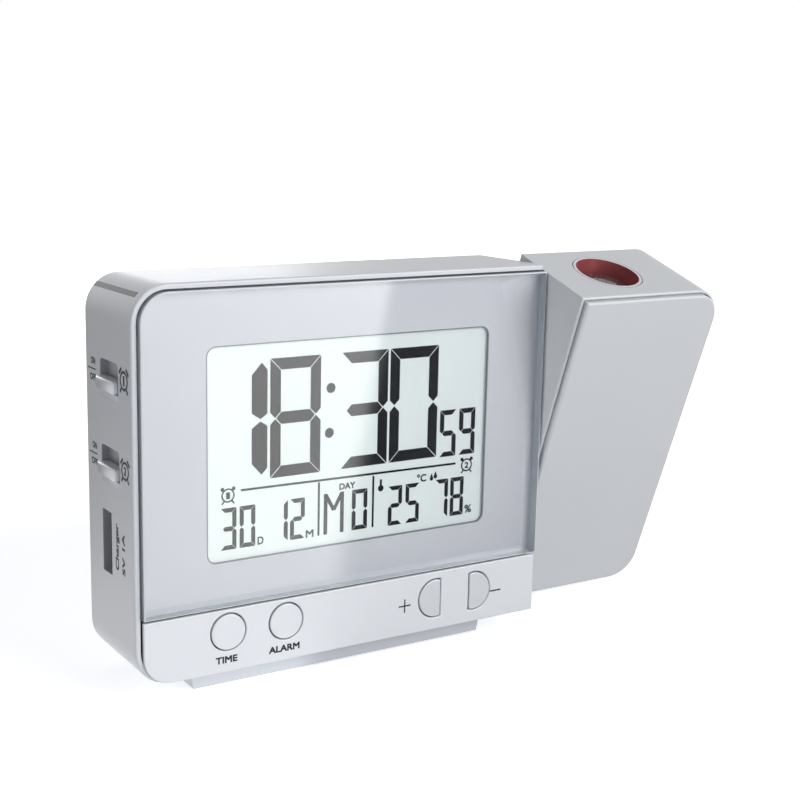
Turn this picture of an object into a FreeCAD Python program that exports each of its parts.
import FreeCAD, Part
import math
import operator
import os
import Sketcher
from types import SimpleNamespace

# A projection alarm clock: a flat rectangular clock on a low foot, with a tall projector arm
# that swings on a hollow shaft in the clock's right wall.
# Millimetres. +Z is up, the display faces -Y, and +X is to the right as seen from the front.
# The origin is the centre of the sole under the foot. Names that begin with arm are in the
# arm's own frame: upright, with its origin on the swing axis.

SIZES = {
    # main case
    "body_width": 105, "body_height": 86, "body_depth": 26,
    "corner_radius": 8, "square_corner": 0.8, "wall": 2, "edge_round": 0.5,
    # foot and its rubber sole
    "foot_length": 76.6, "foot_depth": 17.8, "foot_height": 4.5, "foot_draft": 0.8,
    "foot_wall": 1.6, "foot_shift": 1, "sole_thickness": 1, "sole_seat": 0.5, "sole_margin": 2,
    # front: rim, clear display window, printed film, button strip
    "rim_width": 1.2, "front_gap": 0.4, "recess_depth": 2, "web": 1.6, "right_inset": 0.5,
    "window_thickness": 4, "film_thickness": 0.4, "split_height": 15.3, "split_gap": 0.3,
    "strip_proud": 1.5, "strip_wall": 1.6, "strip_side": 0.7, "front_chamfer": 0.4,
    # liquid crystal display
    "view_left": 17.05, "view_bottom": 25.3, "view_width": 72.7, "view_height": 47,
    "view_corner": 2, "glass_margin": 3.2, "glass_thickness": 2.6, "glass_gap": 0.3,
    "glass_clearance": 0.25, "frame_wall": 1.6, "frame_floor": 1, "guide_thickness": 2.2,
    "led_size": 2, "contact_strip": 1.6,
    # boards
    "board_thickness": 1.2, "board_gap": 0.3, "board_margin": 1.2, "board_right": 11,
    "side_board_depth": 13.5, "board_boss_radius": 2.2, "board_screw_radius": 0.75,
    "board_screw_head": 1.6, "board_screw_length": 3.6, "screw_gap": 0.05,
    # front buttons, from the case's left and bottom sides
    "time_place": 21.05, "alarm_place": 35.3, "round_button_height": 9.3,
    "round_button_radius": 4.05, "plus_place": 75.5, "minus_place": 86.7,
    "half_button_height": 7.95, "half_button_radius": 4.55, "half_button_flat": 1.3,
    "button_gap": 0.3, "button_proud": 0.2, "button_travel": 0.5, "flange": 0.8, "flange_reach": 0.6, "flange_gap": 0.1,
    "plunger_radius": 1.7, "plunger_gap": 0.4,
    "key_size": 6, "key_height": 3.5, "key_pin_radius": 1.75, "key_pin_height": 0.8,
    # alarm switches in the left wall, from the case's front rim and bottom side
    "knob_front": 7.5, "knob_width": 9.6, "knob_height": 4.1, "knob_travel": 3.6,
    "knob_proud": 1.7, "knob_recess": 1.8, "knob_floor": 1.2, "knob_gap": 0.3,
    "switch_one": 60.8, "switch_two": 42.1, "stem_place": 10.4, "stem_thickness": 1,
    "stem_height": 3, "lever_height": 1.2, "lever_length": 2, "switch_width": 4,
    "switch_length": 9, "switch_height": 3.6,
    # charging socket in the left wall
    "slot_front": 12.3, "slot_width": 5.2, "slot_bottom": 21.7, "slot_length": 14,
    "socket_width": 5.8, "socket_length": 13.2, "socket_wall": 0.4, "tongue_width": 1.9,
    # rear cover and battery tray
    "cover_plate": 2.4, "cover_set": 0.5, "cover_gap": 0.2, "screw_head": 1.9,
    "screw_head_height": 1.2, "screw_radius": 1, "screw_length": 8, "boss_radius": 3,
    "cell_radius": 5.25, "cell_length": 44.5, "cell_gap": 0.3, "spring_length": 3.6,
    "plate_thickness": 0.4, "tray_wall": 1.2, "tray_gap": 2.3, "tray_centre": 4, "tray_bottom": 11,
    "door_thickness": 1.4, "door_margin": 1.5, "door_gap": 0.3, "tab_width": 4.4,
    "tab_length": 1.6, "tab_thickness": 1, "tab_spread": 32,
    "inlet_height": 57, "inlet_width": 2.8, "inlet_length": 7.6, "inlet_gap": 0.4,
    "grille_slot": 1.2, "grille_pitch": 2.4, "grille_length": 12,
    "buzzer_place": 78, "buzzer_height": 66, "buzzer_radius": 6, "buzzer_depth": 7.5,
    "sensor_place": 30, "sensor_height": 66, "sensor_size": 10, "sensor_depth": 5,
    "rear_button_place": 54, "rear_button_radius": 2.5,
    # snooze plate under the top wall
    "touch_length": 40, "touch_width": 10, "touch_thickness": 0.6,
    # swing shaft
    "pivot_forward": 1.2, "shaft_radius": 4.2, "shaft_bore": 2.4, "shaft_gap": 0.08,
    "bush_radius": 5.4, "bush_boss": 3, "bush_boss_radius": 7.6, "bush_flange": 7.8,
    "bush_flange_thickness": 1, "stop_inner": 6.2, "stop_drop": 1.9, "washer_thickness": 0.7, "washer_gap": 0.1,
    "ring_radius": 5.9, "ring_thickness": 1.6, "groove_radius": 3.4, "tooth_reach": 7.6,
    "tooth_width": 3, "shaft_tail": 0.7, "shaft_flange": 9.4, "shaft_flange_thickness": 2,
    # lead through the shaft
    "lead_radius": 0.8, "lead_bend": 5.4, "lead_run": 24, "lead_drop": 12,
    # projector arm
    "arm_tilt": 19, "arm_gap": 0.5, "arm_width": 44.5, "arm_height": 86, "arm_depth": 25.2,
    "arm_rim": 0.6, "arm_inset": 0.9, "arm_seat": 1.2, "arm_proud": 1.4, "arm_cover_wall": 1.6,
    "arm_boss_radius": 3.2, "post_radius": 2, "arm_shelf": 7.4, "arm_shelf_thickness": 1.2,
    # projector
    "lens_axis": 17.5, "ring_outer": 8.5, "ring_bore": 7.8, "ring_length": 11,
    "ring_gap": 0.08, "ring_groove": 0.25, "ring_groove_depth": 1, "ring_flange": 9.4,
    "ring_flange_thickness": 1.2, "collar_radius": 10.5, "lens_depth": 2.2, "lens_edge": 2,
    "lens_crown": 1.6, "barrel_radius": 7.4, "barrel_wall": 1.4, "barrel_top": 11.6,
    "barrel_foot": 3, "condenser_height": 8, "panel_height": 14, "panel_size": 9,
    "panel_thickness": 1.4,
}

SIGNS = {"+": operator.add, "-": operator.sub, "*": operator.mul, "/": operator.truediv}


class Size:
    """A number together with the sheet expression that gives it."""

    def __init__(self, text, value):
        self.text = text
        self.value = value

    def __add__(self, other):
        return join(self, "+", other)

    def __radd__(self, other):
        return join(other, "+", self)

    def __sub__(self, other):
        return join(self, "-", other)

    def __rsub__(self, other):
        return join(other, "-", self)

    def __mul__(self, other):
        return join(self, "*", other)

    def __rmul__(self, other):
        return join(other, "*", self)

    def __truediv__(self, other):
        return join(self, "/", other)

    def __neg__(self):
        return join(0, "-", self)


def as_size(number):
    if isinstance(number, Size):
        return number
    return Size(repr(number), number)


def join(first, sign, second):
    first = as_size(first)
    second = as_size(second)
    return Size(f"({first.text} {sign} {second.text})", SIGNS[sign](first.value, second.value))


document = FreeCAD.newDocument("ProjectionAlarmClock")
sheet = document.addObject("Spreadsheet::Sheet", "Sizes")
for row, (alias, number) in enumerate(SIZES.items(), start=1):
    sheet.set(f"A{row}", alias)
    sheet.set(f"B{row}", str(number))
    sheet.setAlias(f"B{row}", alias)
document.recompute()
s = SimpleNamespace(**{alias: Size(f"Sizes.{alias}", number) for alias, number in SIZES.items()})

# Places that several sub-parts share, all worked out from the sizes above.
at = SimpleNamespace()
at.left = -s.body_width / 2 - s.foot_shift
at.right = at.left + s.body_width
at.bottom = s.foot_height + s.sole_thickness - s.sole_seat
at.top = at.bottom + s.body_height
at.front = -s.body_depth / 2
at.back = s.body_depth / 2
at.web_front = at.front + s.recess_depth
at.web_back = at.web_front + s.web
at.film_front = at.web_front - s.film_thickness
at.window_front = at.film_front - s.window_thickness
at.split = at.bottom + s.split_height
at.strip_front = at.front - s.strip_proud
at.glass_front = at.web_front + s.glass_gap
at.glass_back = at.glass_front + s.glass_thickness
at.guide_back = at.glass_back + s.guide_thickness
at.frame_back = at.guide_back + s.frame_floor
at.board_front = at.frame_back + s.board_gap
at.board_back = at.board_front + s.board_thickness
at.board_left = at.left + s.side_board_depth + s.board_thickness + s.board_gap
at.board_right = at.right - s.board_right
at.side_board = at.left + s.side_board_depth
at.view_left = at.left + s.view_left
at.view_right = at.view_left + s.view_width
at.view_bottom = at.bottom + s.view_bottom
at.view_top = at.view_bottom + s.view_height
at.key_pin = at.board_front - s.key_height - s.key_pin_height
at.plunger_end = at.key_pin - s.button_travel - s.flange_gap
at.cover_outer = at.back - s.cover_set
at.cover_inner = at.cover_outer - s.cover_plate
at.pivot_y = -s.pivot_forward
at.pivot_z = at.bottom + s.body_height / 2
at.bush_inner = at.right - s.wall - s.bush_boss
at.washer_right = at.bush_inner - s.bush_flange_thickness - s.washer_gap
at.washer_left = at.washer_right - s.washer_thickness
at.ring_left = at.washer_left - s.ring_thickness
at.shaft_end = at.ring_left - s.shaft_tail
at.arm_left = at.right + s.arm_gap
at.arm_right = at.arm_left + s.arm_width
at.arm_inside = at.arm_left + s.wall
at.lens_x = at.arm_left + s.lens_axis
at.arm_board_low = -s.arm_shelf + s.arm_shelf_thickness
at.arm_board_top = at.arm_board_low + s.board_thickness
at.lead_end = at.arm_inside + s.shaft_flange_thickness + s.shaft_bore

PLANES = {"XY": ("XY_Plane", 1), "XZ": ("XZ_Plane", -1), "YZ": ("YZ_Plane", 1)}
TURNS = {"X": ((0, 1, 0), 90), "Y": ((1, 0, 0), -90), "Z": ((0, 0, 1), 0)}
parts = []


def bind(thing, path, size):
    thing.setExpression(path, as_size(size).text)


def finish(thing, name, in_arm=False):
    """Names a sub-part, and swings it with the arm where it is part of the arm."""
    thing.Label = name
    if in_arm:
        turn = FreeCAD.Rotation(FreeCAD.Vector(1, 0, 0), s.arm_tilt.value)
        thing.Placement = FreeCAD.Placement(FreeCAD.Vector(), turn)
        bind(thing, "Placement.Rotation.Angle", s.arm_tilt)
        bind(thing, "Placement.Base.y", at.pivot_y)
        bind(thing, "Placement.Base.z", at.pivot_z)
    parts.append(thing)
    return thing


def new_body(name):
    return document.addObject("PartDesign::Body", f"{name}_body")


def new_sketch(body, plane, level):
    role, facing = PLANES[plane]
    origin_plane = next(item for item in body.Origin.OriginFeatures if item.Role == role)
    sketch = body.newObject("Sketcher::SketchObject", "outline")
    sketch.AttachmentSupport = [(origin_plane, "")]
    sketch.MapMode = "FlatFace"
    bind(sketch, "AttachmentOffset.Base.z", facing * level)
    return sketch


def extrude(body, plane, start, end, shapes, cut=False):
    """Adds or cuts the outlines between two levels along the plane's axis, start below end."""
    facing = PLANES[plane][1]
    sketch = new_sketch(body, plane, start)
    for draw in shapes:
        draw(sketch)
    feature = body.newObject("PartDesign::Pocket" if cut else "PartDesign::Pad", "feature")
    feature.Profile = sketch
    bind(feature, "Length", end - start)
    feature.Reversed = (facing < 0) != cut
    return feature


def hold(sketch, kind, geometry, point, size):
    """Holds one coordinate of a point at a distance from the sketch's origin."""
    size = as_size(size)
    index = sketch.addConstraint(Sketcher.Constraint(kind, -1, 1, geometry, point, size.value))
    bind(sketch, f"Constraints[{index}]", size)


def hold_radius(sketch, geometry, size):
    size = as_size(size)
    index = sketch.addConstraint(Sketcher.Constraint("Radius", geometry, size.value))
    bind(sketch, f"Constraints[{index}]", size)


def rectangle(left, right, low, high, corners=(0, 0, 0, 0)):
    """A rectangle whose corner radii go round from low left, anticlockwise."""
    left, right, low, high = map(as_size, (left, right, low, high))
    radii = [as_size(radius) for radius in corners]

    def draw(sketch):
        spots = [(left, low), (right, low), (right, high), (left, high)]
        ways = [(1, 0), (0, 1), (-1, 0), (0, -1)]
        sides = []
        for side, (along_x, along_y) in enumerate(ways):
            after = (side + 1) % 4
            start_x = spots[side][0].value + along_x * radii[side].value
            start_y = spots[side][1].value + along_y * radii[side].value
            end_x = spots[after][0].value - along_x * radii[after].value
            end_y = spots[after][1].value - along_y * radii[after].value
            line = Part.LineSegment(FreeCAD.Vector(start_x, start_y), FreeCAD.Vector(end_x, end_y))
            sides.append(sketch.addGeometry(line))
            sketch.addConstraint(Sketcher.Constraint(("Horizontal", "Vertical")[side % 2], sides[side]))
        hold(sketch, "DistanceY", sides[0], 1, low)
        hold(sketch, "DistanceX", sides[1], 1, right)
        hold(sketch, "DistanceY", sides[2], 1, high)
        hold(sketch, "DistanceX", sides[3], 1, left)
        for corner, radius in enumerate(radii):
            before = sides[corner - 1]
            if radius.value <= 0:
                sketch.addConstraint(Sketcher.Constraint("Coincident", before, 2, sides[corner], 1))
                continue
            inward_x = (1, -1, -1, 1)[corner]
            inward_y = (1, 1, -1, -1)[corner]
            centre_x = spots[corner][0].value + inward_x * radius.value
            centre_y = spots[corner][1].value + inward_y * radius.value
            circle_line = Part.Circle(FreeCAD.Vector(centre_x, centre_y), FreeCAD.Vector(0, 0, 1), radius.value)
            start = math.radians(180 + 90 * corner)
            arc = sketch.addGeometry(Part.ArcOfCircle(circle_line, start, start + math.pi / 2))
            sketch.addConstraint(Sketcher.Constraint("Tangent", before, 2, arc, 1))
            sketch.addConstraint(Sketcher.Constraint("Tangent", arc, 2, sides[corner], 1))
            hold_radius(sketch, arc, radius)

    return draw


def circle(centre_x, centre_y, radius):
    centre_x, centre_y, radius = map(as_size, (centre_x, centre_y, radius))

    def draw(sketch):
        centre = FreeCAD.Vector(centre_x.value, centre_y.value)
        index = sketch.addGeometry(Part.Circle(centre, FreeCAD.Vector(0, 0, 1), radius.value))
        hold(sketch, "DistanceX", index, 3, centre_x)
        hold(sketch, "DistanceY", index, 3, centre_y)
        hold_radius(sketch, index, radius)

    return draw


def half_moon(centre_x, centre_y, radius, flat):
    """A circle cut off by an upright line, which lies at the signed distance flat from its centre."""
    centre_x, centre_y, radius, flat = map(as_size, (centre_x, centre_y, radius, flat))

    def draw(sketch):
        opening = math.acos(abs(flat.value) / radius.value)
        start = opening if flat.value > 0 else math.pi + opening
        centre = FreeCAD.Vector(centre_x.value, centre_y.value)
        circle_line = Part.Circle(centre, FreeCAD.Vector(0, 0, 1), radius.value)
        sweep = 2 * (math.pi - opening)
        curve = Part.ArcOfCircle(circle_line, start, start + sweep)
        arc = sketch.addGeometry(curve)
        line = sketch.addGeometry(Part.LineSegment(curve.EndPoint, curve.StartPoint))
        sketch.addConstraint(Sketcher.Constraint("Coincident", arc, 2, line, 1))
        sketch.addConstraint(Sketcher.Constraint("Coincident", line, 2, arc, 1))
        sketch.addConstraint(Sketcher.Constraint("Vertical", line))
        hold(sketch, "DistanceX", line, 1, centre_x + flat)
        hold(sketch, "DistanceX", arc, 3, centre_x)
        hold(sketch, "DistanceY", arc, 3, centre_y)
        hold_radius(sketch, arc, radius)

    return draw


def polygon(corners):
    corners = [(as_size(x), as_size(y)) for x, y in corners]

    def draw(sketch):
        spots = [FreeCAD.Vector(x.value, y.value) for x, y in corners]
        lines = []
        for index, spot in enumerate(spots):
            following = spots[(index + 1) % len(spots)]
            lines.append(sketch.addGeometry(Part.LineSegment(spot, following)))
        for index, (x, y) in enumerate(corners):
            sketch.addConstraint(Sketcher.Constraint("Coincident", lines[index - 1], 2, lines[index], 1))
            hold(sketch, "DistanceX", lines[index], 1, x)
            hold(sketch, "DistanceY", lines[index], 1, y)

    return draw


def dress(body, kind, size, base, test):
    """Rounds or bevels the edges of a feature that pass a test."""
    document.recompute()
    names = [f"Edge{index}" for index, edge in enumerate(base.Shape.Edges, start=1) if test(edge)]
    if not names:
        raise RuntimeError(f"no edge to dress on {body.Name}")
    feature = body.newObject(f"PartDesign::{kind}", kind.lower())
    feature.Base = (base, names)
    bind(feature, "Radius" if kind == "Fillet" else "Size", size)
    return feature


def edge_at(axis, *levels):
    """A test for edges that lie flat at one of the levels along an axis."""
    def test(edge):
        reach = edge.BoundBox
        low = getattr(reach, f"{axis}Min")
        high = getattr(reach, f"{axis}Max")
        return any(abs(low - level.value) < 1e-4 and abs(high - level.value) < 1e-4 for level in levels)

    return test


def box(left, right, front, back, low, high):
    block = document.addObject("Part::Box", "block")
    bind(block, "Length", right - left)
    bind(block, "Width", back - front)
    bind(block, "Height", high - low)
    bind(block, "Placement.Base.x", left)
    bind(block, "Placement.Base.y", front)
    bind(block, "Placement.Base.z", low)
    return block


def rod(way, centre, radius, start, end):
    """A cylinder along an axis, whose centre holds the two other coordinates in X, Y, Z order."""
    bar = document.addObject("Part::Cylinder", "rod")
    axis, angle = TURNS[way]
    turn = FreeCAD.Rotation(FreeCAD.Vector(*axis), angle)
    bar.Placement = FreeCAD.Placement(FreeCAD.Vector(), turn)
    bind(bar, "Radius", radius)
    bind(bar, "Height", end - start)
    others = [letter for letter in "xyz" if letter != way.lower()]
    bind(bar, f"Placement.Base.{way.lower()}", start)
    for letter, size in zip(others, centre):
        bind(bar, f"Placement.Base.{letter}", size)
    return bar


def cone(way, centre, start_radius, end_radius, start, end):
    solid = document.addObject("Part::Cone", "cone")
    axis, angle = TURNS[way]
    turn = FreeCAD.Rotation(FreeCAD.Vector(*axis), angle)
    solid.Placement = FreeCAD.Placement(FreeCAD.Vector(), turn)
    bind(solid, "Radius1", start_radius)
    bind(solid, "Radius2", end_radius)
    bind(solid, "Height", end - start)
    others = [letter for letter in "xyz" if letter != way.lower()]
    bind(solid, f"Placement.Base.{way.lower()}", start)
    for letter, size in zip(others, centre):
        bind(solid, f"Placement.Base.{letter}", size)
    return solid


def cut(base, tool):
    result = document.addObject("Part::Cut", "cut")
    result.Base = base
    result.Tool = tool
    return result


def common(base, tool):
    result = document.addObject("Part::Common", "common")
    result.Base = base
    result.Tool = tool
    return result


def fuse(*solids):
    result = document.addObject("Part::MultiFuse", "fuse")
    result.Shapes = list(solids)
    return result


def group(*solids):
    result = document.addObject("Part::Compound", "group")
    result.Links = list(solids)
    return result


def case_outline(inset, right_inset=None):
    """The case's front outline drawn in by a distance: round on the left, square on the right."""
    right = at.right - (inset if right_inset is None else right_inset)
    radius = s.corner_radius - inset
    return rectangle(at.left + inset, right, at.bottom + inset, at.top - inset, (radius, 0, 0, radius))


def case_corner_bosses():
    """Centres of the four bosses that take the rear cover's screws."""
    reach = s.wall + s.boss_radius - 0.4
    return [(x, z) for x in (at.left + reach + 1, at.right - reach)
            for z in (at.bottom + reach + 1, at.top - reach - 1)]


def board_bosses():
    """Centres of the four bosses that carry the main board, above and below the display frame."""
    frame_edge = s.glass_margin + s.glass_clearance + s.frame_wall + s.board_boss_radius + 0.5
    return [(x, z) for x in (at.view_left + 2, at.view_right - 2)
            for z in (at.view_bottom - frame_edge, at.view_top + frame_edge)]


def side_posts():
    """Centres, in Y and Z, of the two posts that carry the side board."""
    return [(at.front + 20.5, at.bottom + height) for height in (18, 39)]


def foot_screw_places():
    return [s.foot_length / 2 * side * 0.8 for side in (-1, 1)]


def round_buttons():
    return [(at.left + place, at.bottom + s.round_button_height) for place in (s.time_place, s.alarm_place)]


def half_buttons():
    """Centre and signed flat of the plus button and the minus button."""
    height = at.bottom + s.half_button_height
    return [(at.left + s.plus_place, height, s.half_button_flat),
            (at.left + s.minus_place, height, -s.half_button_flat)]


def button_centres():
    return round_buttons() + [(x, z) for x, z, flat in half_buttons()]


def rear_button_centre():
    return at.left + s.rear_button_place, at.bottom + s.buzzer_height


def knob_heights():
    """Where each alarm knob's lower side lies when it is off."""
    return [at.bottom + s.switch_one, at.bottom + s.switch_two]


def make_case_shell():
    """The one-piece case: four walls, the web behind the display, and all its bosses."""
    body = new_body("case_shell")
    block = extrude(body, "XZ", at.front, at.back, [case_outline(as_size(0))])
    dress(body, "Fillet", s.edge_round, block, edge_at("Y", at.front, at.back))
    extrude(body, "XZ", at.front, at.web_front, [case_outline(s.rim_width, -1)], cut=True)
    extrude(body, "XZ", at.web_back, at.back, [case_outline(s.wall)], cut=True)
    extrude(body, "XZ", at.web_back, at.cover_inner, [circle(x, z, s.boss_radius) for x, z in case_corner_bosses()])
    extrude(body, "XZ", at.web_back, at.board_front, [circle(x, z, s.board_boss_radius) for x, z in board_bosses()])
    extrude(body, "YZ", at.left + s.wall, at.side_board,
            [circle(y, z, s.board_boss_radius) for y, z in side_posts()])
    recess_front = at.front + s.knob_front - s.knob_gap
    recess_back = recess_front + s.knob_width + 2 * s.knob_gap
    recesses = []
    pads = []
    slots = []
    stem_y = at.front + s.stem_place
    for height in knob_heights():
        low = height - s.knob_gap
        high = height + s.knob_height + s.knob_travel + s.knob_gap
        recesses.append(rectangle(recess_front, recess_back, low, high, (1, 1, 1, 1)))
        pads.append(rectangle(recess_front - s.knob_floor, recess_back + s.knob_floor,
                              low - s.knob_floor, high + s.knob_floor))
        slot_low = height + (s.knob_height - s.stem_height) / 2 - s.knob_gap
        slot_high = slot_low + s.stem_height + s.knob_travel + 2 * s.knob_gap
        half = s.stem_thickness / 2 + s.knob_gap
        slots.append(rectangle(stem_y - half, stem_y + half, slot_low, slot_high))
    floor_inner = at.left + s.knob_recess + s.knob_floor
    extrude(body, "YZ", at.left + s.wall, floor_inner, pads)
    extrude(body, "YZ", at.left, at.left + s.knob_recess, recesses, cut=True)
    extrude(body, "YZ", at.left, floor_inner, slots, cut=True)
    extrude(body, "YZ", at.left, at.left + s.wall, [rectangle(
        at.front + s.slot_front, at.front + s.slot_front + s.slot_width,
        at.bottom + s.slot_bottom, at.bottom + s.slot_bottom + s.slot_length)], cut=True)
    extrude(body, "YZ", at.bush_inner, at.right - s.wall, [circle(at.pivot_y, at.pivot_z, s.bush_boss_radius)])
    extrude(body, "YZ", at.bush_inner, at.right, [circle(at.pivot_y, at.pivot_z, s.bush_radius + s.screw_gap)],
            cut=True)
    reach = s.glass_margin + s.glass_clearance
    extrude(body, "XZ", at.web_front, at.web_back, [rectangle(
        at.view_left - reach, at.view_right + reach, at.view_bottom - reach, at.view_top + reach)], cut=True)
    extrude(body, "XZ", at.web_front, at.web_back,
            [circle(x, z, s.plunger_radius + s.plunger_gap) for x, z in button_centres()], cut=True)
    pilot = s.screw_radius + s.screw_gap
    extrude(body, "XZ", at.cover_inner - s.screw_length, at.cover_inner,
            [circle(x, z, pilot) for x, z in case_corner_bosses()], cut=True)
    small_pilot = s.board_screw_radius + s.screw_gap
    extrude(body, "XZ", at.board_front - s.board_screw_length, at.board_front,
            [circle(x, z, small_pilot) for x, z in board_bosses()], cut=True)
    extrude(body, "YZ", at.side_board - s.board_screw_length, at.side_board,
            [circle(y, z, small_pilot) for y, z in side_posts()], cut=True)
    extrude(body, "XY", at.bottom + s.wall, at.bottom + s.wall + 4,
            [circle(x, 0, s.boss_radius) for x in foot_screw_places()])
    extrude(body, "XY", at.bottom, at.bottom + s.wall + 4, [circle(x, 0, pilot) for x in foot_screw_places()],
            cut=True)
    return finish(body, "case_shell")


def tray_box(grow=0):
    """The battery tray's opening as left, right, low and high, drawn out by a distance."""
    half_length = (s.cell_length + s.spring_length) / 2 + s.plate_thickness
    low = at.bottom + s.tray_bottom
    high = low + 4 * s.cell_radius + 3 * s.cell_gap
    return -s.tray_centre - half_length - grow, half_length - s.tray_centre + grow, low - grow, high + grow


def make_rear_cover():
    """The inset back: plate, moulded battery tray, door seat, grille, vents and screw holes."""
    body = new_body("rear_cover")
    inset = s.wall + s.cover_gap
    extrude(body, "XZ", at.cover_inner, at.cover_outer, [case_outline(inset)])
    tray_front = at.board_back + s.tray_gap
    extrude(body, "XZ", tray_front, at.cover_inner, [rectangle(*tray_box(s.tray_wall))])
    extrude(body, "XZ", tray_front + s.tray_wall, at.cover_outer, [rectangle(*tray_box())], cut=True)
    extrude(body, "XZ", at.cover_outer - s.door_thickness - s.door_gap, at.cover_outer,
            [rectangle(*tray_box(s.door_margin), (1, 1, 1, 1))], cut=True)
    left, right, low, high = tray_box()
    middle = (low + high) / 2
    extrude(body, "XZ", tray_front + s.tray_wall, tray_front + s.tray_wall + 1.5,
            [rectangle(left + 2, right - 2, middle - 0.4, middle + 0.4)])
    slot_low = low - s.door_margin - s.tab_length
    centre = -s.tray_centre
    for side in (-1, 1):
        x = centre + side * s.tab_spread / 2
        half = s.tab_width / 2 + s.door_gap
        extrude(body, "XZ", at.cover_inner - 0.5, at.cover_outer - 0.6,
                [rectangle(x - half, x + half, slot_low, low)], cut=True)
    x, z = rear_button_centre()
    extrude(body, "XZ", at.cover_inner, at.cover_outer,
            [circle(x, z, s.rear_button_radius + s.button_gap)], cut=True)
    inlet_x = at.side_board + s.board_thickness + s.inlet_width / 2
    half_width = s.inlet_width / 2 + s.inlet_gap
    half_length = s.inlet_length / 2 + s.inlet_gap
    inlet_z = at.bottom + s.inlet_height
    extrude(body, "XZ", at.cover_inner, at.cover_outer, [rectangle(
        inlet_x - half_width, inlet_x + half_width, inlet_z - half_length, inlet_z + half_length,
        (0.8, 0.8, 0.8, 0.8))], cut=True)
    places = case_corner_bosses()
    extrude(body, "XZ", at.cover_inner, at.cover_outer,
            [circle(x, z, s.screw_radius + s.cover_gap) for x, z in places], cut=True)
    last = extrude(body, "XZ", at.cover_outer - s.screw_head_height - 0.2, at.cover_outer,
                   [circle(x, z, s.screw_head + s.cover_gap) for x, z in places], cut=True)
    grilles = ((s.buzzer_place, s.buzzer_height), (s.sensor_place, s.sensor_height))
    for place, height in grilles:
        x = at.left + place
        z = at.bottom + height - 2 * s.grille_pitch
        slot = extrude(body, "XZ", at.cover_inner, at.cover_outer, [rectangle(
            x - s.grille_length / 2, x + s.grille_length / 2, z - s.grille_slot / 2, z + s.grille_slot / 2)],
            cut=True)
        last = body.newObject("PartDesign::LinearPattern", "grille")
        last.Originals = [slot]
        last.Direction = (slot.Profile[0], ["V_Axis"])
        last.Occurrences = 5
        bind(last, "Length", 4 * s.grille_pitch)
        body.Tip = last
    return finish(body, "rear_cover")


def make_battery_door():
    """The battery door, which tips out about its lower edge on two tabs."""
    body = new_body("battery_door")
    left, right, low, high = tray_box(s.door_margin - s.door_gap)
    inner = at.cover_outer - s.door_thickness
    extrude(body, "XZ", inner, at.cover_outer, [rectangle(left, right, low, high, (0.8, 0.8, 0.8, 0.8))])
    for side in (-1, 1):
        x = -s.tray_centre + side * s.tab_spread / 2
        half = s.tab_width / 2
        extrude(body, "XZ", inner - 0.5, inner - 0.5 + s.tab_thickness,
                [rectangle(x - half, x + half, low - s.tab_length, low + 1.1)])
    nail = 7
    extrude(body, "XZ", at.cover_outer - 0.6, at.cover_outer,
            [rectangle(-s.tray_centre - nail, nail - s.tray_centre, high - 4, high - 2.5)], cut=True)
    return finish(body, "battery_door")


def front_outline(side_gap, low, high, lower_corner, upper_corner):
    """Outline of a front panel in the case's recess, open to the right."""
    left = at.left + s.rim_width + side_gap
    radius = s.corner_radius - s.rim_width - side_gap
    return rectangle(left, at.right - s.right_inset, low, high,
                     (radius * lower_corner, 0, 0, radius * upper_corner))


def make_display_front():
    """The thick clear window and the printed film behind it."""
    low = at.split
    high = at.top - s.rim_width - s.front_gap
    window = new_body("display_window")
    plate = extrude(window, "XZ", at.window_front, at.film_front, [front_outline(s.front_gap, low, high, 0, 1)])
    dress(window, "Chamfer", s.front_chamfer, plate, edge_at("Y", at.window_front))
    finish(window, "display_window")
    film = new_body("display_film")
    extrude(film, "XZ", at.film_front, at.web_front, [front_outline(s.front_gap, low, high, 0, 1)])
    corner = s.view_corner
    extrude(film, "XZ", at.film_front, at.web_front, [rectangle(
        at.view_left, at.view_right, at.view_bottom, at.view_top, (corner, corner, corner, corner))], cut=True)
    finish(film, "display_film")


def make_button_strip():
    """The moulded strip under the window, hollow behind, with a hole for each button."""
    body = new_body("button_strip")
    low = at.bottom + s.rim_width + s.front_gap
    high = at.split - s.split_gap
    block = extrude(body, "XZ", at.strip_front, at.web_front, [front_outline(s.front_gap, low, high, 1, 0)])
    dress(body, "Chamfer", s.front_chamfer, block, edge_at("Y", at.strip_front))
    wall_back = at.strip_front + s.strip_wall
    edge = s.strip_side
    radius = s.corner_radius - s.rim_width - s.front_gap - edge
    hollow = rectangle(at.left + s.rim_width + s.front_gap + edge, at.right - s.right_inset - edge,
                       low + edge, high - edge, (radius, 0, 0, 0))
    extrude(body, "XZ", wall_back, at.web_front, [hollow], cut=True)
    holes = [circle(x, z, s.round_button_radius + s.button_gap) for x, z in round_buttons()]
    for x, z, flat in half_buttons():
        side = 1 if flat.value > 0 else -1
        holes.append(half_moon(x, z, s.half_button_radius + s.button_gap, flat + side * s.button_gap))
    extrude(body, "XZ", at.strip_front, wall_back, holes, cut=True)
    return finish(body, "button_strip")


def make_button(name, outline, x, z):
    """One front button: cap, retaining flange and plunger."""
    body = new_body(name)
    flange_front = at.strip_front + s.strip_wall + s.flange_gap
    cap = extrude(body, "XZ", at.strip_front - s.button_proud, flange_front, [outline(0)])
    dress(body, "Fillet", s.edge_round / 2, cap, edge_at("Y", at.strip_front - s.button_proud))
    extrude(body, "XZ", flange_front, flange_front + s.flange, [outline(s.flange_reach)])
    extrude(body, "XZ", flange_front + s.flange, at.plunger_end, [circle(x, z, s.plunger_radius)])
    return finish(body, name)


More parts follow.
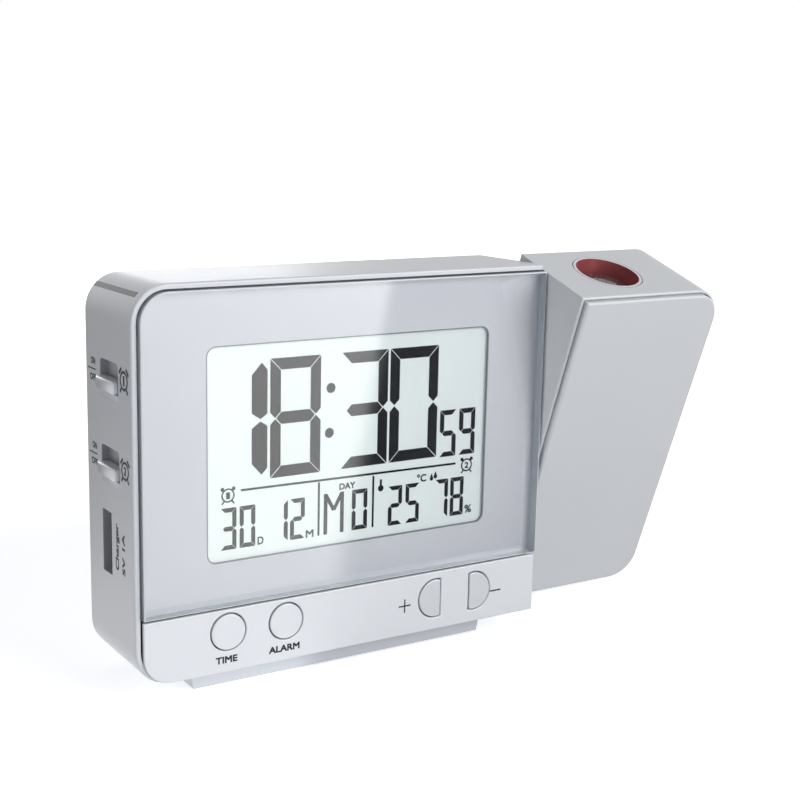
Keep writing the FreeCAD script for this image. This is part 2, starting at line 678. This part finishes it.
def make_front_buttons():
    for name, (x, z) in zip(("time_button", "alarm_button"), round_buttons()):
        make_button(name, lambda grow, x=x, z=z: circle(x, z, s.round_button_radius + grow), x, z)
    for name, (x, z, flat) in zip(("plus_button", "minus_button"), half_buttons()):
        def outline(grow, x=x, z=z, flat=flat):
            side = 1 if flat.value > 0 else -1
            return half_moon(x, z, s.half_button_radius + grow, flat + side * grow)

        make_button(name, outline, x, z)


def make_rear_button():
    """The projector's button in the rear cover, over a long plunger."""
    x, z = rear_button_centre()
    body = new_body("projection_button")
    flange_back = at.cover_inner - s.flange_gap
    cap = extrude(body, "XZ", flange_back, at.cover_outer + s.button_proud, [circle(x, z, s.rear_button_radius)])
    dress(body, "Fillet", s.edge_round / 2, cap, edge_at("Y", at.cover_outer + s.button_proud))
    extrude(body, "XZ", flange_back - s.flange, flange_back, [circle(x, z, s.rear_button_radius + s.flange_reach)])
    pin = at.board_back + s.key_height + s.key_pin_height + s.button_travel + s.flange_gap
    extrude(body, "XZ", pin, flange_back - s.flange, [circle(x, z, s.plunger_radius)])
    return finish(body, "projection_button")


def make_display_stack():
    """What lies behind the film: the glass, its frame, the light guide, lights and contact strips."""
    left = at.view_left - s.glass_margin
    right = at.view_right + s.glass_margin
    low = at.view_bottom - s.glass_margin
    high = at.view_top + s.glass_margin
    finish(box(left, right, at.glass_front, at.glass_back, low, high), "lcd_panel")
    frame = new_body("lcd_frame")
    gap = s.glass_clearance
    grow = gap + s.frame_wall
    extrude(frame, "XZ", at.web_back, at.frame_back, [rectangle(left - grow, right + grow, low - grow, high + grow)])
    extrude(frame, "XZ", at.web_back, at.guide_back,
            [rectangle(left - gap, right + gap, low - gap, high + gap)], cut=True)
    strips = [(high - s.contact_strip, high), (low, low + s.contact_strip)]
    extrude(frame, "XZ", at.guide_back, at.frame_back,
            [rectangle(left + 2 - gap, right - 2 + gap, near - gap, far + gap) for near, far in strips], cut=True)
    finish(frame, "lcd_frame")
    finish(group(*[box(left + 2, right - 2, at.glass_back, at.board_front, near, far) for near, far in strips]),
           "contact_strips")
    guide_low = low + s.contact_strip + gap
    guide_high = high - s.contact_strip - gap
    finish(box(left, right - s.led_size - gap, at.glass_back, at.guide_back, guide_low, guide_high), "light_guide")
    lights = []
    for share in (0.2, 0.5, 0.8):
        z = guide_low + (guide_high - guide_low) * share
        lights.append(box(right - s.led_size, right, at.glass_back, at.guide_back, z - 1.5, z + 1.5))
    finish(group(*lights), "backlight_leds")


def key_switch(x, z, front):
    """One small push switch on the main board's front or back."""
    half = s.key_size / 2
    if front:
        block = box(x - half, x + half, at.board_front - s.key_height, at.board_front, z - half, z + half)
        pin = rod("Y", (x, z), s.key_pin_radius, at.key_pin, at.board_front - s.key_height)
    else:
        face = at.board_back + s.key_height
        block = box(x - half, x + half, at.board_back, face, z - half, z + half)
        pin = rod("Y", (x, z), s.key_pin_radius, face, face + s.key_pin_height)
    return fuse(block, pin)


def make_boards():
    """The main board with its parts, and the side board behind the left wall."""
    main = new_body("main_board")
    margin = s.wall + s.board_margin
    extrude(main, "XZ", at.board_front, at.board_back,
            [rectangle(at.board_left, at.board_right, at.bottom + margin, at.top - margin)])
    extrude(main, "XZ", at.board_front, at.board_back,
            [circle(x, z, s.board_screw_radius + s.cover_gap) for x, z in board_bosses()], cut=True)
    finish(main, "main_board")
    keys = [key_switch(x, z, True) for x, z in button_centres()]
    finish(group(*keys, key_switch(*rear_button_centre(), False)), "key_switches")
    chip_z = at.bottom + 50
    finish(box(-as_size(8), as_size(4), at.board_back, at.board_back + 1.8, chip_z - 6, chip_z + 6), "controller_chip")
    x = at.left + s.buzzer_place
    z = at.bottom + s.buzzer_height
    can = rod("Y", (x, z), s.buzzer_radius, at.board_back, at.board_back + s.buzzer_depth)
    hole = rod("Y", (x, z), s.plunger_radius / 2, at.board_back + 2, at.board_back + s.buzzer_depth)
    finish(cut(can, hole), "buzzer")
    x = at.left + s.sensor_place
    z = at.bottom + s.sensor_height
    half = s.sensor_size / 2
    case = box(x - half, x + half, at.board_back, at.board_back + s.sensor_depth, z - half, z + half)
    for row in (-1, 0, 1):
        z_slot = z + row * 2.4
        case = cut(case, box(x - half + 2, x + half - 2, at.board_back + 1,
                             at.board_back + s.sensor_depth, z_slot - 0.5, z_slot + 0.5))
    finish(case, "climate_sensor")
    side = new_body("side_board")
    extrude(side, "YZ", at.side_board, at.side_board + s.board_thickness,
            [rectangle(at.board_front + 0.2, at.cover_inner - 0.4, at.bottom + 14, at.top - 12)])
    extrude(side, "YZ", at.side_board, at.side_board + s.board_thickness,
            [circle(y, z, s.board_screw_radius + s.cover_gap) for y, z in side_posts()], cut=True)
    finish(side, "side_board")


def make_alarm_switches():
    """Two slide switches on the side board, each with its lever and its knob in the wall."""
    housings = []
    stem_y = at.front + s.stem_place
    top_x = at.side_board - s.switch_height
    lever_tip = top_x - s.lever_length
    for name, height in zip(("alarm_one", "alarm_two"), knob_heights()):
        middle = height + (s.knob_height + s.knob_travel) / 2
        half = s.switch_length / 2
        block = box(top_x, at.side_board, stem_y - s.switch_width / 2, stem_y + s.switch_width / 2,
                    middle - half, middle + half)
        groove = (s.lever_height + s.knob_travel) / 2 + s.knob_gap
        side = s.stem_thickness / 2 + s.knob_gap
        slot = box(top_x, top_x + 2, stem_y - side, stem_y + side, middle - groove, middle + groove)
        housings.append(cut(block, slot))
        lever_low = height + (s.knob_height - s.lever_height) / 2
        half_stem = s.stem_thickness / 2
        finish(box(lever_tip, top_x + 1.7, stem_y - half_stem, stem_y + half_stem,
                   lever_low, lever_low + s.lever_height), f"{name}_lever")
        knob = new_body(name)
        front = at.front + s.knob_front
        seat = at.left + s.knob_recess - s.knob_gap
        cap = extrude(knob, "YZ", at.left - s.knob_proud, seat, [rectangle(
            front, front + s.knob_width, height, height + s.knob_height, (0.8, 0.8, 0.8, 0.8))])
        dress(knob, "Fillet", s.edge_round, cap, edge_at("X", at.left - s.knob_proud))
        stem_low = height + (s.knob_height - s.stem_height) / 2
        extrude(knob, "YZ", seat, top_x - s.knob_gap,
                [rectangle(stem_y - half_stem, stem_y + half_stem, stem_low, stem_low + s.stem_height)])
        extrude(knob, "YZ", lever_tip - 0.1, top_x - s.knob_gap,
                [rectangle(stem_y - half_stem, stem_y + half_stem,
                           lever_low - 0.05, lever_low + s.lever_height + 0.05)], cut=True)
        finish(knob, f"{name}_knob")
    finish(group(*housings), "slide_switches")


def make_sockets():
    """The charging socket behind its slot in the wall, and the power inlet at the back."""
    middle_y = at.front + s.slot_front + s.slot_width / 2
    middle_z = at.bottom + s.slot_bottom + s.slot_length / 2
    mouth = at.left + s.wall + s.screw_gap
    half_y = s.socket_width / 2
    half_z = s.socket_length / 2
    shell = new_body("charge_socket")
    extrude(shell, "YZ", mouth, at.side_board,
            [rectangle(middle_y - half_y, middle_y + half_y, middle_z - half_z, middle_z + half_z,
                       (0.8, 0.8, 0.8, 0.8))])
    wall = s.socket_wall
    extrude(shell, "YZ", mouth, at.side_board - wall,
            [rectangle(middle_y - half_y + wall, middle_y + half_y - wall,
                       middle_z - half_z + wall, middle_z + half_z - wall, (0.4, 0.4, 0.4, 0.4))], cut=True)
    finish(shell, "charge_socket")
    half_tongue = s.tongue_width / 2
    finish(box(mouth + 0.8, at.side_board - wall, middle_y, middle_y + s.tongue_width,
               middle_z - half_z + 1.2, middle_z + half_z - 1.2), "socket_tongue")
    inlet_left = at.side_board + s.board_thickness
    z = at.bottom + s.inlet_height
    half = s.inlet_length / 2
    inlet = new_body("power_inlet")
    inlet_shape = rectangle(inlet_left, inlet_left + s.inlet_width, z - half, z + half, (0.6, 0.6, 0.6, 0.6))
    extrude(inlet, "XZ", at.cover_inner - 5, at.cover_outer - 0.3, [inlet_shape])
    mouth_shape = rectangle(inlet_left + wall, inlet_left + s.inlet_width - wall, z - half + wall, z + half - wall)
    extrude(inlet, "XZ", at.cover_inner - 4.4, at.cover_outer - 0.3, [mouth_shape], cut=True)
    tongue_low = z - half + 1.6
    tongue = rectangle(inlet_left + s.inlet_width / 2 - 0.3, inlet_left + s.inlet_width / 2 + 0.3,
                       tongue_low, tongue_low + s.inlet_length - 3.2)
    extrude(inlet, "XZ", at.cover_inner - 4.4, at.cover_outer - 0.9, [tongue])
    finish(inlet, "power_inlet")


def screw(way, centre, head_at, direction, head_radius, head_height, radius, length):
    """A screw whose head sits on head_at and whose shank runs in the given direction."""
    if direction > 0:
        head = rod(way, centre, head_radius, head_at - head_height, head_at)
        shank = rod(way, centre, radius, head_at, head_at + length)
        drive = rod(way, centre, radius * 0.5, head_at - head_height, head_at - head_height / 2)
    else:
        head = rod(way, centre, head_radius, head_at, head_at + head_height)
        shank = rod(way, centre, radius, head_at - length, head_at)
        drive = rod(way, centre, radius * 0.5, head_at + head_height / 2, head_at + head_height)
    return cut(fuse(head, shank), drive)


def make_screws():
    """All screws of the clock, one group for each kind and place."""
    big = (s.screw_head, s.screw_head_height, s.screw_radius, s.screw_length - 0.4)
    seat = at.cover_outer - s.screw_head_height - 0.2
    finish(group(*[screw("Y", centre, seat, -1, *big) for centre in case_corner_bosses()]), "rear_cover_screws")
    small = (s.board_screw_head, 1, s.board_screw_radius, s.board_screw_length)
    screws = [screw("Y", centre, at.board_back, -1, *small) for centre in board_bosses()]
    screws += [screw("X", centre, at.side_board + s.board_thickness, -1, *small) for centre in side_posts()]
    finish(group(*screws), "board_screws")
    head_at = s.sole_thickness + s.screw_head_height
    finish(group(*[screw("Z", (x, as_size(0)), head_at, 1, *big) for x in foot_screw_places()]), "foot_screws")


def make_foot():
    """The hollow foot with sloping ends, and the rubber sole set into it."""
    body = new_body("base_foot")
    half = s.foot_length / 2
    sole_top = s.sole_thickness
    low = s.sole_thickness - s.sole_seat
    half_depth = s.foot_depth / 2
    extrude(body, "XZ", -half_depth, half_depth, [polygon([
        (-half, low), (half, low), (half + s.foot_draft, at.bottom), (-half - s.foot_draft, at.bottom)])])
    wall = s.foot_wall
    extrude(body, "XY", sole_top + wall - 0.4, at.bottom,
            [rectangle(-half + wall, half - wall, wall - half_depth, half_depth - wall)], cut=True)
    extrude(body, "XY", low, sole_top,
            [rectangle(-half + s.sole_margin, half - s.sole_margin,
                       s.sole_margin - half_depth, half_depth - s.sole_margin)], cut=True)
    places = foot_screw_places()
    extrude(body, "XY", sole_top, at.bottom, [circle(x, 0, s.boss_radius + 0.4) for x in places])
    extrude(body, "XY", sole_top, at.bottom, [circle(x, 0, s.screw_radius + s.cover_gap) for x in places], cut=True)
    extrude(body, "XY", sole_top, sole_top + s.screw_head_height,
            [circle(x, 0, s.screw_head + s.cover_gap) for x in places], cut=True)
    for share in (-0.4, 0, 0.4):
        x = share * s.foot_length / 2
        extrude(body, "XY", sole_top, at.bottom, [rectangle(x - 0.6, x + 0.6, 0.8 - half_depth, half_depth - 0.8)])
    finish(body, "base_foot")
    inset = s.sole_margin + 0.1
    sole = box(inset - half, half - inset, inset - half_depth, half_depth - inset, as_size(0), sole_top)
    finish(sole, "foot_sole")


def make_batteries():
    """Two dry cells side by side, head to tail, between spring and plate contacts."""
    left, right, low, high = tray_box()
    y = at.board_back + s.tray_gap + s.tray_wall + s.cell_radius + s.cell_gap / 2
    plate = s.plate_thickness
    cells = []
    springs = []
    nub = 1
    heights = (high - s.cell_gap - s.cell_radius, low + s.cell_gap + s.cell_radius)
    for z, nub_first in zip(heights, (True, False)):
        if nub_first:
            start = left + plate
            can = rod("X", (y, z), s.cell_radius, start + nub, start + s.cell_length)
            tip = rod("X", (y, z), s.cell_radius / 2, start, start + nub)
            base = start + s.cell_length
            coil = cone("X", (y, z), s.cell_radius / 2, s.cell_radius * 0.75, base, right - plate)
            bore = cone("X", (y, z), s.cell_radius / 2 - 0.6, s.cell_radius * 0.75 - 0.6, base, right - plate)
        else:
            end = right - plate
            can = rod("X", (y, z), s.cell_radius, end - s.cell_length, end - nub)
            tip = rod("X", (y, z), s.cell_radius / 2, end - nub, end)
            base = end - s.cell_length
            coil = cone("X", (y, z), s.cell_radius * 0.75, s.cell_radius / 2, left + plate, base)
            bore = cone("X", (y, z), s.cell_radius * 0.75 - 0.6, s.cell_radius / 2 - 0.6, left + plate, base)
        cells.append(fuse(can, tip))
        springs.append(cut(coil, bore))
    finish(group(*cells), "battery_cells")
    finish(group(*springs), "battery_springs")
    half = s.cell_radius - 0.6
    plates = [box(x, x + plate, y - half, y + half, low + 1, high - 1) for x in (left, right - plate)]
    finish(group(*plates), "battery_contacts")


def make_snooze_plate():
    """The thin plate under the plain top wall that feels a touch for snooze."""
    top = at.top - s.wall
    middle = at.board_back + s.touch_width / 2 + 0.6
    half = s.touch_length / 2
    plate = box(-half, half, middle - s.touch_width / 2, middle + s.touch_width / 2, top - s.touch_thickness, top)
    finish(plate, "snooze_touch_plate")


def ring(way, centre, outer, inner, start, end):
    return cut(rod(way, centre, outer, start, end), rod(way, centre, inner, start, end))


def make_bush():
    """The swing bush in the right wall, with the lower half ring that stops the swing."""
    centre = (at.pivot_y, at.pivot_z)
    flange_left = at.bush_inner - s.bush_flange_thickness
    bore = s.shaft_radius + s.shaft_gap
    tube = ring("X", centre, s.bush_radius, bore, flange_left, at.right)
    flange = ring("X", centre, s.bush_flange, bore, flange_left, at.bush_inner)
    stop = ring("X", centre, s.bush_flange, s.stop_inner, at.ring_left, flange_left)
    reach = s.bush_flange + 1
    lower = box(at.ring_left, flange_left, at.pivot_y - reach, at.pivot_y + reach,
                at.pivot_z - reach, at.pivot_z - s.stop_drop)
    finish(fuse(tube, flange, common(stop, lower)), "pivot_bush")


def make_lead():
    """The lead from the main board along the swing axis into the arm, bent once."""
    x = at.lead_end - s.lead_run
    axis_z = at.pivot_z
    low = axis_z - s.lead_drop
    turn_x = x + s.lead_bend
    turn_z = axis_z - s.lead_bend
    y = at.pivot_y
    diagonal = s.lead_bend.value * (1 - math.sqrt(0.5))
    level = Part.LineSegment(FreeCAD.Vector(at.lead_end.value, y.value, axis_z.value),
                             FreeCAD.Vector(turn_x.value, y.value, axis_z.value))
    bend = Part.Arc(FreeCAD.Vector(turn_x.value, y.value, axis_z.value),
                    FreeCAD.Vector(x.value + diagonal, y.value, axis_z.value - diagonal),
                    FreeCAD.Vector(x.value, y.value, turn_z.value))
    drop = Part.LineSegment(FreeCAD.Vector(x.value, y.value, turn_z.value),
                            FreeCAD.Vector(x.value, y.value, low.value))
    path = Part.Wire([level.toShape(), bend.toShape(), drop.toShape()])
    section = Part.Wire([Part.Circle(FreeCAD.Vector(at.lead_end.value, y.value, axis_z.value),
                                     FreeCAD.Vector(1, 0, 0), s.lead_radius.value).toShape()])
    lead = document.addObject("Part::Feature", "lead")
    lead.Shape = path.makePipeShell([section], True, False)
    straight = math.pi * s.lead_radius.value ** 2 * path.Length
    print(f"lead: bend radius {s.lead_bend.value} mm, volume share {lead.Shape.Volume / straight:.4f}")
    finish(lead, "projector_lead")
    half = 3
    plug = box(x - half, x + half, at.board_back, y + 1.6, low - 6, low)
    finish(plug, "lead_plug")


def arm_outline(inset):
    """The arm's front outline drawn in by a distance: square on the left, round on the right."""
    half = s.arm_height / 2 - inset
    radius = s.corner_radius - inset
    return rectangle(at.arm_left + inset, at.arm_right - inset, -half, half, (0, radius, radius, 0))


def arm_boss_centres():
    reach = s.wall + s.arm_boss_radius - 0.8
    half = s.arm_height / 2 - reach
    return [(x, z) for x in (at.arm_left + reach, at.arm_right - reach - 1) for z in (-half + 1, half - 1)]


def make_arm_shell():
    """The arm's deep moulded shell: lens hole and collar, screw bosses, board shelf, shaft hole."""
    body = new_body("arm_shell")
    half_depth = s.arm_depth / 2
    half = s.arm_height / 2
    block = extrude(body, "XZ", -half_depth, half_depth, [arm_outline(as_size(0))])
    dress(body, "Fillet", s.edge_round, block, edge_at("Y", -half_depth, half_depth))
    extrude(body, "XZ", -half_depth, s.arm_seat - half_depth, [arm_outline(s.arm_rim)], cut=True)
    extrude(body, "XZ", s.arm_seat - half_depth, half_depth - s.wall, [arm_outline(s.wall)], cut=True)
    centres = arm_boss_centres()
    extrude(body, "XZ", -as_size(1), half_depth - s.wall, [circle(x, z, s.arm_boss_radius) for x, z in centres])
    extrude(body, "XZ", -as_size(1), as_size(1), [circle(x, z, s.screw_radius + s.cover_gap) for x, z in centres],
            cut=True)
    extrude(body, "XZ", as_size(1), half_depth, [circle(x, z, s.screw_head + s.cover_gap) for x, z in centres],
            cut=True)
    shelf = at.arm_board_low
    extrude(body, "XY", shelf - s.arm_shelf_thickness, shelf,
            [rectangle(at.arm_inside + 4, at.arm_right - s.wall, as_size(3), half_depth - s.wall)])
    ring_end = half - s.ring_length + s.ring_flange_thickness + s.cover_gap
    extrude(body, "XY", ring_end, half - s.wall, [circle(at.lens_x, 0, s.collar_radius)])
    extrude(body, "XY", ring_end, half, [circle(at.lens_x, 0, s.ring_outer + s.ring_gap)], cut=True)
    extrude(body, "XY", half - s.ring_groove_depth, half,
            [circle(at.lens_x, 0, s.ring_outer + s.ring_groove)], cut=True)
    extrude(body, "YZ", at.arm_left, at.arm_inside, [circle(0, 0, s.shaft_radius + s.screw_gap)], cut=True)
    return finish(body, "arm_shell", True)


def make_arm_cover():
    """The arm's proud front cover, a shallow tray with four screw posts."""
    body = new_body("arm_cover")
    front = -s.arm_depth / 2 - s.arm_proud
    seat = s.arm_seat - s.arm_depth / 2
    plate = extrude(body, "XZ", front, seat, [arm_outline(s.arm_inset)])
    dress(body, "Chamfer", s.front_chamfer, plate, edge_at("Y", front))
    extrude(body, "XZ", front + s.arm_cover_wall, seat, [arm_outline(s.arm_inset + s.arm_cover_wall)], cut=True)
    centres = arm_boss_centres()
    post_end = -as_size(1) - 0.1
    extrude(body, "XZ", front + s.arm_cover_wall, post_end, [circle(x, z, s.post_radius) for x, z in centres])
    extrude(body, "XZ", post_end - s.screw_length + 2, post_end,
            [circle(x, z, s.screw_radius + s.screw_gap) for x, z in centres], cut=True)
    return finish(body, "arm_cover", True)


def make_shaft():
    """The hollow swing shaft with its flange inside the arm, its washer and its toothed ring."""
    centre = (as_size(0), as_size(0))
    flange_right = at.arm_inside + s.shaft_flange_thickness
    tube = rod("X", centre, s.shaft_radius, at.shaft_end, flange_right)
    flange = rod("X", centre, s.shaft_flange, at.arm_inside, flange_right)
    bore = rod("X", centre, s.shaft_bore, at.shaft_end, flange_right)
    groove = ring("X", centre, s.shaft_radius + 1, s.groove_radius, at.ring_left, at.washer_left)
    shaft = cut(cut(fuse(tube, flange), bore), groove)
    centres = []
    for angle in (90, 210, 330):
        y = math.cos(math.radians(angle)) * (s.shaft_radius + s.shaft_flange) / 2
        z = math.sin(math.radians(angle)) * (s.shaft_radius + s.shaft_flange) / 2
        centres.append((y, z))
        shaft = cut(shaft, rod("X", (y, z), s.board_screw_radius + s.cover_gap, at.arm_inside, flange_right))
    finish(shaft, "pivot_shaft", True)
    screws = []
    for place in centres:
        screws.append(screw("X", place, flange_right, -1, s.board_screw_head, 1, s.board_screw_radius,
                            s.shaft_flange_thickness))
    finish(group(*screws), "shaft_screws", True)
    finish(ring("X", centre, s.ring_radius, s.shaft_radius + s.ring_groove, at.washer_left, at.washer_right),
           "friction_washer", True)
    disc = rod("X", centre, s.ring_radius, at.ring_left, at.washer_left)
    tooth = box(at.ring_left, at.washer_left, -s.tooth_width / 2, s.tooth_width / 2, s.groove_radius, s.tooth_reach)
    hole = rod("X", centre, s.groove_radius, at.ring_left, at.washer_left)
    finish(cut(fuse(disc, tooth), hole), "shaft_retainer", True)


def make_projector():
    """Board, light, condenser, picture panel and barrel on the projection axis."""
    board = new_body("arm_board")
    right = at.arm_right - s.wall - 2
    back = s.arm_depth / 2 - s.wall - 0.3
    left = at.arm_inside + s.shaft_flange_thickness + 1.2
    extrude(board, "XY", at.arm_board_low, at.arm_board_top, [rectangle(left, right, 1 - back, back)])
    finish(board, "arm_board", True)
    terminal = box(at.lead_end, at.lead_end + 2.5, -as_size(3), as_size(3), at.arm_board_top, as_size(2))
    finish(terminal, "arm_terminal", True)
    centre = (at.lens_x, as_size(0))
    top = at.arm_board_top
    base = rod("Z", centre, s.barrel_radius / 2, top, top + 1.4)
    dome = document.addObject("Part::Sphere", "dome")
    bind(dome, "Radius", s.barrel_radius / 3)
    bind(dome, "Placement.Base.x", at.lens_x)
    bind(dome, "Placement.Base.z", top + 1.4)
    upper = box(at.lens_x - 4, at.lens_x + 4, -as_size(4), as_size(4), top + 1, top + 6)
    finish(fuse(base, common(dome, upper)), "projector_led", True)
    inner = s.barrel_radius - s.barrel_wall
    half = s.arm_height / 2
    barrel_top = half - s.barrel_top
    barrel_low = top + s.barrel_foot
    barrel = new_body("projector_barrel")
    extrude(barrel, "XY", barrel_low, barrel_top, [circle(at.lens_x, 0, s.barrel_radius)])
    extrude(barrel, "XY", barrel_low, barrel_low + 1.2, [rectangle(
        at.lens_x - 9, at.lens_x + 9, -as_size(9), as_size(9), (1.5, 1.5, 1.5, 1.5))])
    feet = [circle(at.lens_x + x, y, 1.6) for x in (-7, 7) for y in (-7, 7)]
    extrude(barrel, "XY", top, barrel_low, feet)
    extrude(barrel, "XY", barrel_low, barrel_top, [circle(at.lens_x, 0, inner)], cut=True)
    finish(barrel, "projector_barrel", True)
    condenser_low = barrel_low + s.condenser_height
    disc = rod("Z", centre, inner, condenser_low, condenser_low + 1.5)
    crown = cone("Z", centre, inner - 0.4, inner * 0.6, condenser_low + 1.5, condenser_low + 3)
    finish(fuse(disc, crown), "condenser_lens", True)
    panel_low = barrel_low + s.panel_height
    panel_half = s.panel_size / 2
    plate = box(at.lens_x - panel_half, at.lens_x + panel_half, -panel_half, panel_half,
                panel_low, panel_low + s.panel_thickness)
    holder = ring("Z", centre, inner, s.panel_size * 0.35, panel_low - 1, panel_low)
    finish(common(plate, rod("Z", centre, inner - 0.05, panel_low, panel_low + s.panel_thickness)),
           "picture_panel", True)
    finish(holder, "panel_holder", True)


def make_focus_ring():
    """The focus ring in the arm's top and the projection lens that it carries."""
    centre = (at.lens_x, as_size(0))
    top = s.arm_height / 2
    low = top - s.ring_length
    tube = rod("Z", centre, s.ring_outer, low, top)
    flange = rod("Z", centre, s.ring_flange, low, low + s.ring_flange_thickness)
    bore = rod("Z", centre, s.ring_bore, low, top)
    finish(cut(fuse(tube, flange), bore), "focus_ring", True)
    lens = document.addObject("Part::Feature", "lens")
    face = top - s.lens_depth
    edge_top = face - s.lens_crown
    edge_low = edge_top - s.lens_edge
    axis_x = at.lens_x.value
    rim_x = axis_x + s.ring_bore.value
    shoulder = FreeCAD.Vector(axis_x + s.ring_bore.value * 0.55, 0, face.value - s.lens_crown.value * 0.3)
    crown = FreeCAD.Vector(axis_x, 0, face.value)
    rim_high = FreeCAD.Vector(rim_x, 0, edge_top.value)
    rim_low = FreeCAD.Vector(rim_x, 0, edge_low.value)
    middle = FreeCAD.Vector(axis_x, 0, edge_low.value)
    edges = [Part.Arc(crown, shoulder, rim_high).toShape(), Part.LineSegment(rim_high, rim_low).toShape(),
             Part.LineSegment(rim_low, middle).toShape(), Part.LineSegment(middle, crown).toShape()]
    solid = Part.Face(Part.Wire(edges)).revolve(middle, FreeCAD.Vector(0, 0, 1), 360)
    lens.Shape = solid
    finish(lens, "projection_lens", True)


def make_arm_screws():
    """The four screws that hold the arm's cover, sunk deep in the back."""
    big = (s.screw_head, s.screw_head_height, s.screw_radius, s.screw_length - 0.4)
    finish(group(*[screw("Y", centre, as_size(1), -1, *big) for centre in arm_boss_centres()]), "arm_screws", True)


def check():
    """Stops on any feature that failed, cut nothing, or left no valid solid."""
    for thing in document.Objects:
        if "Invalid" in thing.State or "Error" in thing.State:
            raise RuntimeError(f"{thing.Name} {thing.Label} failed: {thing.State}")
        if thing.TypeId == "PartDesign::Pocket":
            if thing.Shape.Volume > thing.BaseFeature.Shape.Volume - 1e-6:
                raise RuntimeError(f"{thing.Name} in {thing.getParent().Name} cuts nothing")
    for part in parts:
        if part.Shape.isNull() or not part.Shape.isValid() or not part.Shape.Solids:
            raise RuntimeError(f"{part.Label} is not a valid solid")


make_case_shell()
make_rear_cover()
make_battery_door()
make_display_front()
make_button_strip()
make_front_buttons()
make_rear_button()
make_display_stack()
make_boards()
make_alarm_switches()
make_sockets()
make_screws()
make_foot()
make_batteries()
make_snooze_plate()
make_bush()
make_lead()
make_arm_shell()
make_arm_cover()
make_shaft()
make_projector()
make_focus_ring()
make_arm_screws()
document.recompute()
check()
os.makedirs("parts", exist_ok=True)
for part in parts:
    part.Shape.exportStep(f"parts/{part.Label}.step")
    reach = part.Shape.BoundBox
    print(f"{part.Label}: {len(part.Shape.Solids)} solids, x {reach.XMin:.2f} to {reach.XMax:.2f}, "
          f"y {reach.YMin:.2f} to {reach.YMax:.2f}, z {reach.ZMin:.2f} to {reach.ZMax:.2f}")
